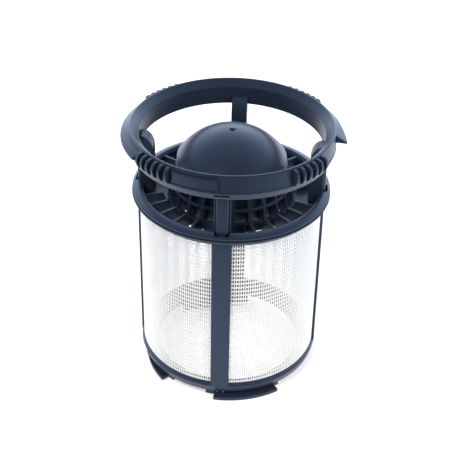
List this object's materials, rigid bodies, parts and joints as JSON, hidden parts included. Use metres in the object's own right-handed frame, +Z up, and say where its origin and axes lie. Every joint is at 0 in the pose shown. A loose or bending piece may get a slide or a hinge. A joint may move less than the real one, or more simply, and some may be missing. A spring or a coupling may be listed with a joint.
{
  "type": "dishwasher filter",
  "caption": "Cylindrical dishwasher filter: fine screen in a moulded frame, coarse basket with a dome, and a handle ring above.",
  "frame": {"origin": "on the filter's axis, in the plane that the feet of the three lugs stand on", "axes": "+Z up along the filter's axis, -Y towards the front bar and post, +X to the right"},
  "size_m": [0.1, 0.1, 0.124],
  "materials": {
    "handle_ring": "satin moulded polypropylene",
    "coarse_basket": "satin moulded polypropylene",
    "mesh_frame": "satin moulded polypropylene",
    "mesh_screen": "fine white woven monofilament"
  },
  "bodies": {
    "root": {"handle_ring": "handle_ring", "coarse_basket": "coarse_basket", "mesh_frame": "mesh_frame", "mesh_screen": "mesh_screen"}
  },
  "joints": []
}
